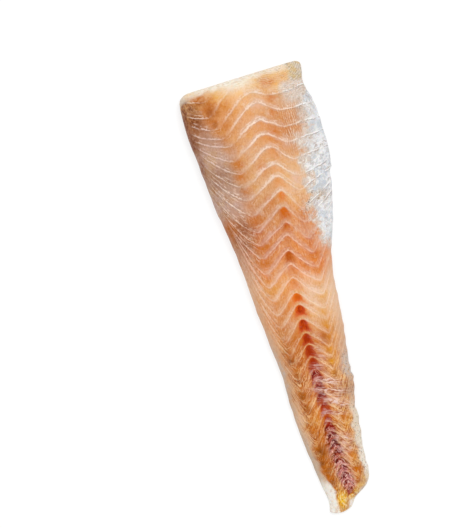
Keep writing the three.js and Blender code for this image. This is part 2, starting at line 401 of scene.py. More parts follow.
def spine_tissues(station, side, phase, pitch, peak):
    """Glowing and dark wedges behind the seams at the spine, the blood line of the tail that they turn into,
    torn shreds beside it, and the ways in which the strands of both lean."""
    part = phase - np.floor(phase)
    seam = np.clip(np.floor(phase).astype(int), 0, len(SEAMS) - 1)
    half = along(station, (0, 6), (95, 5.5), (110, 4), (150, 3.5), (180, 2.9), (205, 2.6), (360, 2.4))
    spread = along(station, (100, 0), (170, 0.25), (190, 0.3), (235, 0.3), (250, 0.4))
    faded = along(station, (0, 0.2), (190, 0.3), (205, 0.45), (235, 0.75), (360, 0.8))
    gone = along(station, (172, 1.1), (185, 0.95), (203, 0.95), (225, 1.05), (240, 1.1), (255, 1.4))
    start = lerp(rise(part, 0, 0.15), 1, 0.8 * rise(station, 235, 248))
    wedge = SEAM_DARK[seam] * hump(side, peak, half + spread * part * pitch) * start * rise(part, gone, faded)
    glow = hump(side, peak, 8) * span(part, 0, 0.15, 0.5, 1.1) * along(
        station, (30, 0.1), (60, 0.2), (100, 0.4), (130, 0.3), (172, 0.35), (190, 1), (240, 1), (290, 0.8),
        (320, 0.5), (335, 0))

    # Bars of dark muscle with lilac between them, then purple flesh
    off_blood = np.abs(side - along(station, *BLOOD_SIDE))
    bars = 1.2 * hump(off_blood, 0, 4.3) * span(part, 0, 0.1, 0.42, 0.8) * along(
        station, (238, 0), (244, 1), (270, 1), (276, 0.15), (285, 0.15), (291, 1), (298, 0.9), (306, 0.3),
        (312, 0))
    lilac = hump(off_blood, 0, 4.5) * rise(part, 0.4, 0.65) * along(
        station, (240, 0), (246, 0.85), (255, 0.7), (261, 0.1), (268, 0.1), (274, 0.6), (286, 0.65),
        (300, 0.3), (310, 0))
    half_purple = along(station, (285, 3.5), (300, 5.5), (330, 6), (343, 5), (348, 4))
    purple = rise(off_blood, half_purple + 3, half_purple - 3) * along(
        station, (289, 0), (300, 0.9), (341, 1), (347, 0))
    lean = station - TORN_LEAN * side
    return {
        "wedge": wedge, "glow": glow, "bars": bars, "lilac": lilac, "purple": purple,
        "torn": spots(TORN_PLACES, side, lean), "lean": lean, "hatch": station - HATCH_LEAN * off_blood,
    }


def edge_tissues(station, side, from_back, from_belly, from_head, down):
    """Pale film, tan rims and rind along the edges, the grey nub at the head's belly corner, and the
    belly membrane with the veil, ripples and specks beside it."""
    ragged = noise(side, station, cell=6, seed=11)
    frayed = noise(side, station, cell=2.5, seed=12)
    head_film = along(
        side, (-50, 0.6), (-42, 0.6), (-35, 0.85), (-15, 0.95), (8, 0.95), (20, 0.7), (30, 0.7), (40, 0.5))
    belly_film = along(
        station, (255, 0), (272, 0.2), (280, 0.6), (287, 0.9), (330, 0.95), (337, 0.5), (345, 0.4),
        (350, 0.9))
    film_width = along(station, (320, 7), (335, 5.5), (345, 3), (360, 3))
    film_edge = along(station, (326, -18), (336, -11), (343, -8), (360, -8.2))
    film = np.maximum.reduce([
        head_film * rise(from_head + 1.2 * ragged, 7, 2),
        0.95 * hump(side, -5, 13) * hump(from_head, 4, 6),
        0.9 * hump(side, 31, 5) * hump(station, 19, 3),
        0.9 * hump(side, 41, 4) * hump(station, 27, 4),
        belly_film * rise(from_belly + 2 * ragged + frayed, film_width, film_width / 2),
        rise(side - film_edge + 1.2 * ragged, 1.2, -1.2) * rise(station, 328, 338)])
    nub = rise(side + 1.5 * ragged, 34, 38.5) * rise(station + 1.5 * ragged, 17.5, 13.5)
    back_tan = along(station, (150, 0), (175, 0.5), (230, 0.85), (360, 0.95))
    belly_tan = along(
        station, (150, 0), (172, 0.9), (250, 0.9), (258, 0.5), (274, 0.5), (285, 0.8), (360, 0.6))
    tan_width = along(station, (165, 5), (235, 9), (295, 9), (315, 6), (360, 5))
    tan = np.maximum(
        back_tan * rise(from_back + 2 * ragged, tan_width, 2.5),
        belly_tan * rise(from_belly + 2 * ragged, 9, 2))
    back_rind = along(station, (200, 0), (240, 0.5), (270, 0.3), (330, 0.4), (340, 0))
    belly_rind = along(
        station, (225, 0), (245, 0.95), (254, 0.85), (260, 0.15), (275, 0.2), (290, 0.4), (340, 0))
    rind_width = along(station, (230, 5), (248, 12), (262, 5))
    rind = np.maximum(
        back_rind * rise(from_back + ragged, 4.5, 1),
        belly_rind * rise(from_belly + ragged, rind_width, 1.5))

    # The membrane on the belly flap, as the distance in from its border, and the flesh beside it
    border = along(
        station, (12, 52), (18, 49), (26, 46), (34, 41), (45, 41), (54, 40), (61, 37), (70, 35), (90, 33.5),
        (105, 32.5), (118, 29.5), (132, 30), (140, 33), (148, 37), (158, 44))
    membrane = np.where((station > 11) & (station < 160), side - border + 3.5 * ragged + 1.5 * frayed, -20)
    veil_edge = along(station, (56, 36), (66, 31), (80, 29), (96, 28), (120, 29), (138, 29), (150, 33))
    past_edge = side - veil_edge + 2 * frayed + 3.5 * ragged
    veil = np.maximum.reduce([
        0.9 * rise(side, 24, 32) * span(station, 13, 17, 26, 38),
        0.9 * rise(side, 33, 41) * rise(station, 13, 17),
        0.8 * rise(side, 22, 36) * span(station, 52, 60, 62, 74),
        0.85 * rise(past_edge, -3, 3) * span(station, 56, 66, 140, 152)])
    ripples = np.maximum.reduce([
        nub,
        rise(side, 18, 26) * span(station, 14, 20, 62, 76),
        0.9 * rise(membrane, -9, -3) * rise(station, 56, 70),
        0.55 * rise(from_head, 17, 10) * rise(side, 4, 16),
        0.3 * hump(side, -47, 7) * hump(station, 16, 6)])
    whorl = lerp(np.hypot(side - 28, station + 10) - 30, side, rise(station, 24, 34))
    specks = np.maximum.reduce([
        0.5 * nub,
        0.45 * rise(from_back, 10, 3) * span(station, 8, 14, 30, 75),
        hump(membrane, -2, 4) * np.maximum(hump(station, 46, 9), hump(station, 112, 12)),
        0.6 * hump(membrane, 4, 5) * hump(station, 109, 10),
        0.7 * rise(from_belly, 11, 5) * span(station, 225, 240, 335, 345),
        0.5 * span(from_back, 5, 9, 11, 17) * rise(station, 180, 215),
        0.35 * rise(side, 20, 28) * rise(from_head, 30, 20)])
    return {
        "film": film, "nub": nub, "tan": tan, "rind": rind, "membrane": membrane, "veil": veil,
        "ripples": ripples * rise(down, 5, 1), "whorl": whorl, "specks": specks,
    }


def seam_tissues(valleys, from_back, from_belly, from_head):
    """White line of connective tissue along each seam, its width, the pale band on its head side and the
    share of painted shade, darker and deeper orange, on the muscle behind it."""
    station, side, back_valley, peak, belly_valley = valleys
    line = in_parts(
        *valleys,
        ((0, 0), (13, 0.7), (30, 0.75), (110, 0.9), (160, 1), (190, 0.7), (235, 0.45), (260, 0.45), (300, 0)),
        ((0, 0.1), (10, 0.5), (40, 1), (55, 0.85), (70, 0.65), (115, 0.65), (140, 0.9), (240, 0.95), (290, 1),
         (340, 0.8), (350, 0)),
        ((0, 0.2), (12, 0.8), (45, 1), (58, 0.75), (75, 0.65), (90, 0.55), (112, 0.4), (128, 0.4), (146, 0.9),
         (190, 0.7), (205, 0.45), (228, 0.4), (245, 0.8), (335, 0.8), (350, 0)),
        ((0, 0.1), (14, 0.9), (50, 0.85), (90, 0.6), (150, 0.5), (180, 0.7), (215, 0.4), (260, 0.2),
         (360, 0)))
    dip = along(station, (50, 0.95), (80, 0.8), (110, 0.75), (125, 0.5), (170, 0.5), (200, 0.6), (230, 0.9))
    gap = along(station, (50, 5.5), (80, 8))
    open_spine = along(station, (165, 0), (185, 0.9), (205, 0.9), (225, 0.8), (240, 0.95))
    open_width = along(station, (190, 6), (225, 5.5), (245, 7))
    line = less(
        line,
        0.45 * span(side, back_valley - 3, back_valley + 3, -13, -5) * rise(station, 85, 60),
        dip * hump(side, back_valley + 2, gap),
        0.35 * hump(side, belly_valley, 4),
        open_spine * hump(side, peak, open_width),
        0.5 * hump(side, peak, 9) * hump(station, 112, 16),
        0.2 * hump(side, -8, 5),
        0.4 * hump(side, 15, 5) * rise(station, 70, 60))
    line = line * np.minimum(rise(from_back, 3, 8), rise(from_belly, 1, 4)) * rise(from_head, 2, 9)
    band = in_parts(
        *valleys,
        ((0, 0), (360, 0)),
        ((10, 0.3), (40, 0.8), (90, 0.65), (120, 0.65), (150, 0.8), (200, 0.5), (220, 0.3), (250, 0.3),
         (300, 0)),
        ((10, 0.3), (40, 0.75), (60, 0.5), (85, 0.35), (125, 0.35), (145, 0.7), (160, 0.8), (200, 0.6),
         (230, 0.3), (300, 0)),
        ((10, 0.2), (60, 0.3), (150, 0.3), (200, 0.4), (300, 0)))
    band = less(
        band,
        hump(side, peak, 9) * along(station, (100, 0), (150, 0.6), (180, 1)),
        0.8 * rise(side, -10, -19) * rise(station, 80, 50),
        0.4 * (1 - hump(side, peak, 8)) * rise(station, 125, 95))
    width = in_parts(
        *valleys,
        ((0, 0.8), (50, 0.7), (90, 0.5), (115, 0.55), (145, 0.6), (360, 0.45)),
        ((0, 0.9), (40, 1.15), (70, 1.25), (110, 1.2), (135, 0.8), (200, 0.7), (240, 0.9), (360, 0.9)),
        ((0, 0.8), (40, 1), (100, 0.85), (135, 0.7), (200, 0.75), (240, 0.9), (360, 0.9)),
        ((0, 0.7), (360, 0.5)))
    # Share of painted shade, darker and deeper orange, on the muscle just behind each seam
    deep = in_parts(
        *valleys,
        ((0, 0.5), (40, 0.3), (100, 0.3), (120, 0.6), (180, 0.5), (360, 0.3)),
        ((0, 0.3), (30, 0.3), (60, 0.25), (75, 0.25), (90, 0.4), (120, 0.65), (140, 0.8), (360, 0.8)),
        ((0, 0.3), (30, 0.65), (60, 0.35), (75, 0.2), (105, 0.2), (120, 0.55), (135, 0.8), (160, 0.8),
         (175, 0.35), (205, 0.35), (230, 0.8), (360, 0.8)),
        ((0, 0.4), (60, 0.3), (110, 0.3), (140, 0.8), (170, 0.6), (180, 0.3), (230, 0.4), (360, 0.4)))
    return {"line": line, "band": band, "width": width, "deep": deep}


def valley_tissue(station, side, back_valley, belly_valley):
    """Orange-brown flesh along the two valleys of the folds."""
    back = hump(side, back_valley - 1, 6) * along(
        station, (5, 0.4), (14, 0.9), (36, 0.8), (50, 0.5), (70, 0.6), (105, 0.4), (118, 0.7), (165, 0.6),
        (175, 0.3), (210, 0.35), (228, 0.7), (335, 0.9), (345, 0))
    belly = hump(side, belly_valley, 5) * along(
        station, (8, 0.3), (20, 0.5), (60, 0.4), (75, 0.1), (115, 0.2), (125, 0.6), (165, 0.7), (175, 0.1),
        (205, 0.3), (260, 0.3), (280, 0.5), (335, 0.7), (345, 0.3))
    return np.maximum(back, belly)


def tissues(station, side, across, down, phase, pitch):
    """All kinds of flesh; down is how far a point lies below the rim of the bone side."""
    back, belly = edges(station)
    from_back, from_belly = side + back, belly - side
    from_head = station - head_line(across) + down
    at = spine_station(station, side)
    peak, back_valley, belly_valley = (fold(at, column) for column in (PEAK_SIDE, BACK_SIDE, BELLY_SIDE))
    valleys = (station, side, back_valley, peak, belly_valley)
    past_valley = back_valley - side + 4 * noise(side, station, cell=7, seed=13)
    return {
        "grey": rise(past_valley, -5, 10) * rise(station, 16, 40),
        "belly": rise(side, peak - 7, peak + 7),
        "valley": valley_tissue(station, side, back_valley, belly_valley),
        **{kind: spots(places, side, station) for kind, places in PLACES.items()},
        **spine_tissues(station, side, phase, pitch, peak),
        **edge_tissues(station, side, from_back, from_belly, from_head, down),
        **seam_tissues(valleys, from_back, from_belly, from_head),
    }


# Mesh

def new_object(name, data):
    made = bpy.data.objects.new(name, data)
    bpy.context.scene.collection.objects.link(made)
    return made


def column_shares():
    even = np.linspace(0, 1, COLUMNS + 1)
    return lerp(even, 0.5 - 0.5 * np.cos(math.pi * even), COLUMN_CROWDING)


def grid_numbers():
    return np.arange((ROWS + 1) * (COLUMNS + 1)).reshape(ROWS + 1, COLUMNS + 1)


def border_loop():
    """Numbers of the grid's border points, once round it anticlockwise from above."""
    number = grid_numbers()
    return np.concatenate([number[:-1, 0], number[-1, :-1], number[:0:-1, -1], number[0, :0:-1]])


def joined(grid, band):
    """Values of the bone side's points and then of the edge band's."""
    return np.concatenate([grid.ravel(), band.ravel()])


def relief(station, side, phase, pitch, tissue):
    """Height of the flakes, the spine pits, the torn strands and the membrane above the plain surface."""
    part = phase - np.floor(phase)
    to_seam = np.minimum(part, 1 - part) * pitch
    bulge = FLAKE * np.sin(math.pi * part) ** 0.7 - SEAM_GROOVE * hump(to_seam, 0, SEAM_GROOVE_HALF_WIDTH)
    blood = np.maximum(tissue["bars"], tissue["purple"])
    pits = -WEDGE_PIT * tissue["wedge"] * rise(station, 165, 195) - BLOOD_PIT * blood
    stringy = tissue["purple"] + tissue["torn"]
    strands = STRANDS * stringy * noise(0.4 * side, tissue["lean"], cell=2.2, seed=5)
    lumps, wrinkles = (
        sum(height * noise(squeeze * side, station, cell, seed) for height, squeeze, cell, seed in table)
        for table in (LUMPS, WRINKLES))
    flakes = bulge * (0.35 + 0.65 * tissue["line"]) + pits + strands
    return lerp(flakes, MEMBRANE + wrinkles, rise(tissue["membrane"], -2, 3)) + lumps


def fillet_points():
    """Points of the bone side and the edge band below it, with the values that the material reads."""
    across = np.broadcast_to(column_shares(), (ROWS + 1, COLUMNS + 1))
    station = lerp(head_line(across), tail_line(across), np.linspace(0, 1, ROWS + 1)[:, None])
    back, belly = edges(station)
    side = lerp(-back, belly, across)
    height, free = plain_height(station, across, side)

    # The edge band goes down in rings, each tucked in further than the one above
    loop = border_loop()
    depth = np.linspace(0, 1, BAND_RINGS + 1)[1:, None]
    edge_station, edge_side, edge_across, edge_height = (
        value.ravel()[loop] + 0 * depth for value in (station, side, across, height))
    band_side = edge_side + TUCK * (1 - 2 * edge_across) * depth**2
    band_y = (LENGTH / 2 - edge_station) * lerp(1, 1 - 2 * TUCK / LENGTH, depth**2)
    band_height = edge_height * (1 - depth)
    down = edge_height - band_height

    # The seams run on down the edge band and the head cut, and further tailward on the way
    all_station = joined(station, edge_station)
    all_side = joined(side, edge_side)
    seam_station = joined(station, edge_station - BAND_LEAN * down)
    phase = flake_phase(seam_station, all_side)
    pitch = flake_pitch(seam_station, all_side)
    tissue = tissues(
        all_station, all_side, joined(across, edge_across), joined(0 * station, down), phase, pitch)

    top = station.size
    top_tissue = {name: value[:top] for name, value in tissue.items()}
    rough = relief(all_station[:top], all_side[:top], phase[:top], pitch[:top], top_tissue)
    x = joined(side, band_side)
    y = joined(LENGTH / 2 - station, band_y)
    z = joined(height.ravel() + free.ravel() * rough, band_height)
    values = dict(tissue, phase=phase, pitch=pitch, station=all_station / LENGTH, side=all_side)
    return np.stack([x, y, z], axis=1), values


def fillet_faces():
    """Quads of the bone side and the edge band, and the underside as one face."""
    number = grid_numbers()
    corners = [number[:-1, :-1], number[1:, :-1], number[1:, 1:], number[:-1, 1:]]
    top = np.stack(corners, axis=-1).reshape(-1, 4)
    loop = border_loop()
    ring_numbers = number.size + np.arange(BAND_RINGS * len(loop)).reshape(BAND_RINGS, len(loop))
    rings = np.concatenate([loop[None], ring_numbers])
    after = np.roll(rings, -1, axis=1)
    band = np.stack([rings[:-1], rings[1:], after[1:], after[:-1]], axis=-1).reshape(-1, 4)
    return top.tolist() + band.tolist() + [rings[-1][::-1].tolist()]


def centred_on_solid(points):
    """Points shrunk if needed and shifted sideways, so that their box lies in the middle of the solid's."""
    low, high = (np.array(corner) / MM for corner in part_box("fillet"))
    points = points * np.minimum(1, (high - low) / np.ptp(points, axis=0))
    shift = (low + high) / 2 - (points.min(0) + points.max(0)) / 2
    return points + [shift[0], shift[1], 0]


def make_fillet():
    points, values = fillet_points()
    mesh = bpy.data.meshes.new("fillet_flesh")
    mesh.from_pydata((centred_on_solid(points) * MM).tolist(), [], fillet_faces())
    for name, value in values.items():
        mesh.attributes.new(name, "FLOAT", "POINT").data.foreach_set("value", value.astype(np.float32))
    smooth = np.ones(len(mesh.polygons), bool)
    smooth[-1] = False
    mesh.polygons.foreach_set("use_smooth", smooth)
    mesh.materials.append(Flesh().surface())
    mesh.materials.append(skin_side_material())
    mesh.polygons[-1].material_index = 1
    mesh.update()
    return new_object("fillet_flesh", mesh)


# Materials

SHOWN_BRIGHTNESS = 1.2  # how much brighter than its own colour the studio light shows the flesh
SHOWN_GLOSS = 0.018  # and how much white its gloss adds
GLOSS = 0.3
DULL_GLOSS = 0.06


def colour(red, green, blue):
    """Surface colour that shows as this display colour, counted from 0 to 255, under the studio light."""
    def linear(part):
        part = part / 255
        return part / 12.92 if part <= 0.04045 else ((part + 0.055) / 1.055) ** 2.4
    shown = (max(linear(part) - SHOWN_GLOSS, 0) for part in (red, green, blue))
    return tuple(part / SHOWN_BRIGHTNESS for part in shown) + (1.0,)


class Output:
    """What a node of a material gives at each point; whatever is worked out from it adds nodes."""

    def __init__(self, tree, socket):
        self.tree = tree
        self.socket = socket

    def __add__(self, other):
        return self.tree.math("ADD", self, other)

    def __sub__(self, other):
        return self.tree.math("SUBTRACT", self, other)

    def __rsub__(self, other):
        return self.tree.math("SUBTRACT", other, self)

    def __mul__(self, other):
        return self.tree.math("MULTIPLY", self, other)

    def __truediv__(self, other):
        return self.tree.math("DIVIDE", self, other)

    def larger(self, other):
        return self.tree.math("MAXIMUM", self, other)

    def off(self, middle):
        """Distance from the middle, to either side."""
        return self.tree.math("ABSOLUTE", self - middle)

    def rise(self, low, high, bottom=0.0, top=1.0):
        """Bottom below low, top above high and a smooth step between; low may be the larger one."""
        inputs = dict(enumerate((self, low, high, bottom, top)))
        return self.tree.node("MapRange", inputs, "Result", interpolation_type="SMOOTHSTEP")

    def span(self, start, full, until, end):
        """0 up to start, 1 from full to until and 0 again after end."""
        return self.rise(start, full) * self.rise(end, until)

    def swing(self, amount):
        """Noise as a push to either side."""
        return (self - 0.5) * amount

    def soft(self, noise, amount=1.2):
        """A share that comes and goes with the noise, as soft as it was."""
        return self * noise.rise(0.3, 0.7, 1 - amount / 2, 1 + amount / 2)

    def patchy(self, noise, amount):
        """A soft share made into patches with an edge as ragged as the noise."""
        return (self + noise.swing(amount)).rise(0.15, 0.85)


class Tree:
    """The nodes of one material."""

    def __init__(self, name):
        self.material = bpy.data.materials.new(name)
        self.material.use_nodes = True
        self.nodes = self.material.node_tree.nodes
        self.shader = self.nodes["Principled BSDF"]
        self.place = self.scaled(self.node("TexCoord", {}, "Object"), (1 / MM,) * 3)

    def feed(self, socket, value):
        if isinstance(value, Output):
            self.material.node_tree.links.new(value.socket, socket)
        else:
            socket.default_value = value

    def node(self, kind, inputs, output, **settings):
        """Output of a new node, with constants or other outputs fed to its inputs."""
        node = self.nodes.new("ShaderNode" + kind)
        for name, setting in settings.items():
            setattr(node, name, setting)
        for name, value in inputs.items():
            self.feed(node.inputs[name], value)
        return Output(self, node.outputs[output])

    def at(self, name):
        """Value that the mesh carries at its points."""
        return self.node("Attribute", {}, "Fac", attribute_name=name)

    def math(self, operation, a, b=0.0):
        return self.node("Math", {0: a, 1: b}, 0, operation=operation)

    def scaled(self, place, scale):
        return self.node("VectorMath", {0: place, 1: scale}, "Vector", operation="MULTIPLY")

    def mix(self, share, a, b):
        """Colour a turned into colour b as far as share; a plain colour is given as it shows."""
        a, b = (colour(*given) if isinstance(given, tuple) else given for given in (a, b))
        return self.node("Mix", {0: share, 6: a, 7: b}, 2, data_type="RGBA")

    def tint(self, share, a, b):
        """Colour a multiplied by b, as far as share."""
        return self.node("Mix", {0: share, 6: a, 7: b + (1.0,)}, 2, data_type="RGBA", blend_type="MULTIPLY")

    def noise(self, size, detail, stretch=(1, 1, 1), seed=0.0):
        """Noise with lumps of this size in millimetres, longer along an axis whose stretch is below one."""
        inputs = {"Vector": self.scaled(self.place, stretch), "W": seed, "Scale": 1 / size, "Detail": detail}
        return self.node("TexNoise", inputs, "Fac", noise_dimensions="4D")

    def bump(self, height, strength, distance):
        return self.node("Bump", {"Height": height, "Strength": strength, "Distance": distance}, "Normal")

    def finish(self, base, roughness, gloss, normal):
        inputs = {
            "Base Color": base, "Roughness": roughness, "Specular IOR Level": gloss, "Normal": normal,
            "IOR": 1.38, "Subsurface Weight": 0.12, "Subsurface Radius": (1.0, 0.45, 0.22),
            "Subsurface Scale": 1.2 * MM}
        for name, value in inputs.items():
            self.feed(self.shader.inputs[name], value)
        return self.material


class Flesh(Tree):
    """Material of the bone side: from muscle on, each method lays a kind of tissue over the colour so far."""

    def __init__(self):
        super().__init__("fillet_flesh")
        self.station = self.at("station")
        self.side = self.at("side")
        self.tail = self.station.rise(0.58, 0.74)
        self.patches = self.noise(9, 3)
        self.blotches = self.noise(4.5, 3, seed=2)
        self.mottle = self.noise(2.4, 3, seed=4)
        self.flecks = self.noise(1.5, 2, seed=6)
        self.grain = self.noise(0.9, 2, seed=8)
        self.fibres = self.noise(0.8, 3, stretch=(1, 0.2, 1))

        # Wandering coordinates, so that nothing runs in a straight comb
        self.wander = self.noise(5, 2, seed=10)
        self.drift = self.noise(5, 2, seed=12)
        phase, pitch = self.at("phase"), self.at("pitch")
        wobble = self.wander.swing(1.0) * self.station.rise(0.58, 0.75, 0.16, 0.5)
        fray = self.flecks.swing(1.0) * self.station.rise(0.3, 0.7, 0.08, 0.25)
        self.part = self.math("FRACT", phase + wobble + fray)
        self.after = self.part * pitch
        self.before = (1.0 - self.part) * pitch
        self.wisps = self.strands(phase * 7, length=6, wander=4, drift=2)
        self.cords = self.strands(phase * 3.2, length=5, wander=3, drift=2, detail=2)
        self.uneven = self.strands(phase * 2.3, length=6)
        self.hatch = self.strands(self.at("hatch") / 2.2, length=5, wander=5, drift=4)
        self.shreds = self.strands(self.at("lean") / 1.1, length=6, wander=4, drift=2, detail=4)
        turns = self.at("whorl") * (2 * math.pi / 1.7) + self.wander.swing(14) + self.mottle.swing(6)
        self.ridges = self.math("SINE", turns) * 0.5 + 0.5

    def strands(self, across, length, wander=0.0, drift=0.0, detail=3.0):
        """Noise drawn out into strands of this length, from a value that counts across them. Wander and drift
        push them about, across and along."""
        inputs = {"X": across + self.wander.swing(wander), "Y": self.side / length + self.drift.swing(drift)}
        lie = self.node("CombineXYZ", inputs, "Vector")
        return self.node("TexNoise", {"Vector": lie, "Scale": 1.0, "Detail": detail}, "Fac")

    def ramp(self, *stops):
        """Colour that changes along the fillet, each stop a share of the length and a colour as it shows."""
        node = self.nodes.new("ShaderNodeValToRGB")
        elements = node.color_ramp.elements
        while len(elements) < len(stops):
            elements.new(1.0)
        for element, (at, *shade) in zip(elements, stops):
            element.position = at
            element.color = colour(*shade)
        self.feed(node.inputs[0], self.station)
        return Output(self, node.outputs["Color"])

    def layers(self, flesh, *layers):
        """Flesh with colours laid over it one after another, each with its share."""
        for share, shade in layers:
            flesh = self.mix(share, flesh, shade)
        return flesh

    def strokes(self, flesh, share, strands, dark, pale):
        """Flesh tinted where the strands are low and paler where they are high. Both are given as where that
        starts, where it is full, how much and the colour."""
        start, full, most, shade = dark
        flesh = self.tint(share * strands.rise(start, full, 0, most), flesh, shade)
        start, full, most, shade = pale
        return self.mix(share * strands.rise(start, full, 0, most), flesh, shade)

    def muscle(self):
        """Flesh in three strips along the fillet, deep orange in the folds' valleys, and darker, deeper
        orange behind the seams as painted shade.
        """
        edge = self.ramp(
            (0.03, 208, 146, 92), (0.08, 186, 126, 94), (0.13, 192, 150, 128), (0.175, 206, 172, 158),
            (0.21, 184, 146, 126), (0.25, 190, 156, 140), (0.28, 196, 162, 150), (0.33, 186, 130, 98),
            (0.4, 206, 154, 126), (0.47, 232, 184, 150), (0.58, 230, 162, 114), (0.68, 226, 170, 134),
            (0.85, 222, 186, 154))
        back = self.ramp(
            (0.01, 246, 224, 192), (0.05, 240, 188, 134), (0.1, 226, 164, 110), (0.25, 224, 176, 134),
            (0.31, 212, 154, 112), (0.4, 220, 148, 100), (0.47, 242, 182, 134), (0.53, 228, 168, 118),
            (0.61, 204, 136, 70), (0.66, 206, 128, 60), (0.74, 222, 146, 70), (0.785, 246, 172, 88),
            (0.86, 196, 110, 32), (0.95, 218, 146, 66))
        belly = self.ramp(
            (0.01, 244, 212, 168), (0.06, 230, 184, 142), (0.12, 218, 158, 112), (0.18, 214, 148, 88),
            (0.24, 236, 194, 154), (0.29, 236, 192, 152), (0.33, 224, 160, 110), (0.37, 232, 168, 122),
            (0.45, 234, 152, 92), (0.51, 242, 210, 182), (0.56, 238, 194, 152), (0.615, 206, 138, 68),
            (0.65, 222, 152, 84), (0.74, 226, 168, 114), (0.83, 240, 190, 138), (0.95, 214, 146, 76))
        valley = self.ramp(
            (0.05, 192, 112, 42), (0.2, 198, 130, 62), (0.35, 190, 98, 50), (0.45, 226, 130, 60),
            (0.6, 196, 116, 48), (0.8, 180, 92, 16))
        flesh = self.layers(back, (self.at("belly"), belly), (self.at("grey"), edge))
        # Painted shade: darker, deeper orange muscle just behind each seam, where the flake ahead of it
        # overlaps
        behind = self.after.rise(0.0, 1.2) * self.part.rise(0.8, 0.1) * self.at("deep")
        flesh = self.tint(behind, flesh, (0.93, 0.74, 0.4))
        share = self.at("valley") * self.part.rise(0.9, 0.3, 0.45, 0.85)
        flesh = self.mix(share.soft(self.blotches), flesh, valley)
        flesh = self.tint(self.patches.rise(0.48, 0.62, 0, 0.9), flesh, (1.0, 0.94, 0.68))
        return self.mix(self.blotches.rise(0.54, 0.72, 0, 0.4), flesh, (220, 190, 172))

    def grown(self, flesh):
        """Fine fibres along the fillet, thin wisps along the seams, and brown and pale shreds in the tail."""
        flesh = self.tint(self.mottle.rise(0.5, 0.72, 0, 0.6), flesh, (0.93, 0.84, 0.7))
        flesh = self.tint(self.tail * self.blotches.rise(0.54, 0.42) * 0.8, flesh, (0.86, 0.66, 0.28))
        frayed = self.station.rise(0.55, 0.71) * self.at("belly").rise(0, 1, 0.85, 1.15)
        late = self.station.rise(0.72, 0.82)
        for strands, most, share in (
            (self.cords, 0.6, frayed),
            (self.wisps, 0.95, frayed),
            (self.hatch, 0.7, late),
        ):
            flesh = self.strokes(
                flesh, share, strands,
                (0.48, 0.38, most, (0.62, 0.4, 0.16)), (0.53, 0.63, most, (253, 212, 150)))
        stringy = self.station.rise(0.26, 0.34, 0.5, 1.0)
        flesh = self.strokes(
            flesh, stringy, self.fibres,
            (0.5, 0.34, 0.9, (0.86, 0.7, 0.5)), (0.52, 0.68, 0.4, (246, 208, 170)))
        flesh = self.mix(self.wisps.rise(0.55, 0.7, 0, 0.4), flesh, (240, 208, 184))
        # Fans of fine strands on the grey back edge: lilac-grey between them, and pale strands that are
        # partly a painted sheen
        strand_and_sheen_fan = self.at("grey") * self.patches.rise(0.42, 0.58) * self.station.span(0.16, 0.26, 0.45, 0.6)
        flesh = self.strokes(
            flesh, strand_and_sheen_fan, self.wisps,
            (0.48, 0.4, 0.8, (0.86, 0.74, 0.66)), (0.52, 0.62, 0.6, (236, 208, 194)))
        rough = self.flecks.rise(0.5, 0.36) * self.station.rise(0.55, 0.7, 0.6, 1.0)
        return self.tint(rough, flesh, (0.86, 0.72, 0.54))

    def places(self, flesh):
        """Pale, golden, deep orange and brown places, and the tan rim and grey rind of the tail."""
        gold = self.ramp((0.05, 240, 180, 84), (0.6, 224, 150, 40), (0.9, 238, 170, 72), (0.96, 255, 206, 50))
        for kind, most, shade in (
            ("pale", 0.8, (230, 190, 168)),
            ("golden", 0.7, gold),
            ("orange", 0.85, (204, 114, 34)),
            ("brown", 0.88, (134, 72, 36)),
        ):
            flesh = self.mix(self.at(kind).soft(self.mottle, 0.8) * most, flesh, shade)
        rim = self.ramp(
            (0.45, 228, 186, 152), (0.6, 220, 180, 146), (0.73, 212, 172, 140), (0.78, 234, 192, 158),
            (0.87, 214, 188, 162))
        flesh = self.mix(self.at("tan").soft(self.wisps) * 0.85, flesh, rim)
        return self.mix(self.at("rind").soft(self.mottle), flesh, (204, 194, 184))

    def spine(self, flesh):
        """Glow and dark wedges behind the seams, and the blood line that they turn into."""
        glow = self.ramp(
            (0.1, 236, 162, 92), (0.3, 226, 140, 70), (0.45, 222, 136, 66), (0.53, 234, 132, 44),
            (0.65, 204, 106, 30), (0.78, 206, 106, 36), (0.82, 190, 98, 36))
        dark = self.ramp(
            (0.1, 232, 142, 66), (0.28, 224, 118, 36), (0.36, 190, 88, 24), (0.43, 184, 88, 18),
            (0.5, 232, 118, 34), (0.54, 206, 78, 4), (0.64, 182, 72, 10), (0.72, 152, 50, 14),
            (0.775, 184, 74, 28), (0.81, 152, 50, 14))
        wedge = self.at("wedge").soft(self.fibres, 0.8).soft(self.blotches, 0.7)
        full = self.station.rise(0.45, 0.5, 0.85, 0.5)
        core = wedge.rise(0.55, 1.05, 0, 0.9) * self.station.rise(0.49, 0.54)
        flesh = self.layers(
            flesh,
            (self.at("glow").soft(self.mottle, 0.8) * 0.75, glow),
            (wedge.rise(0.0, full, 0, 0.95), dark),
            (core, (166, 58, 6)))
        return self.blood_line(flesh)

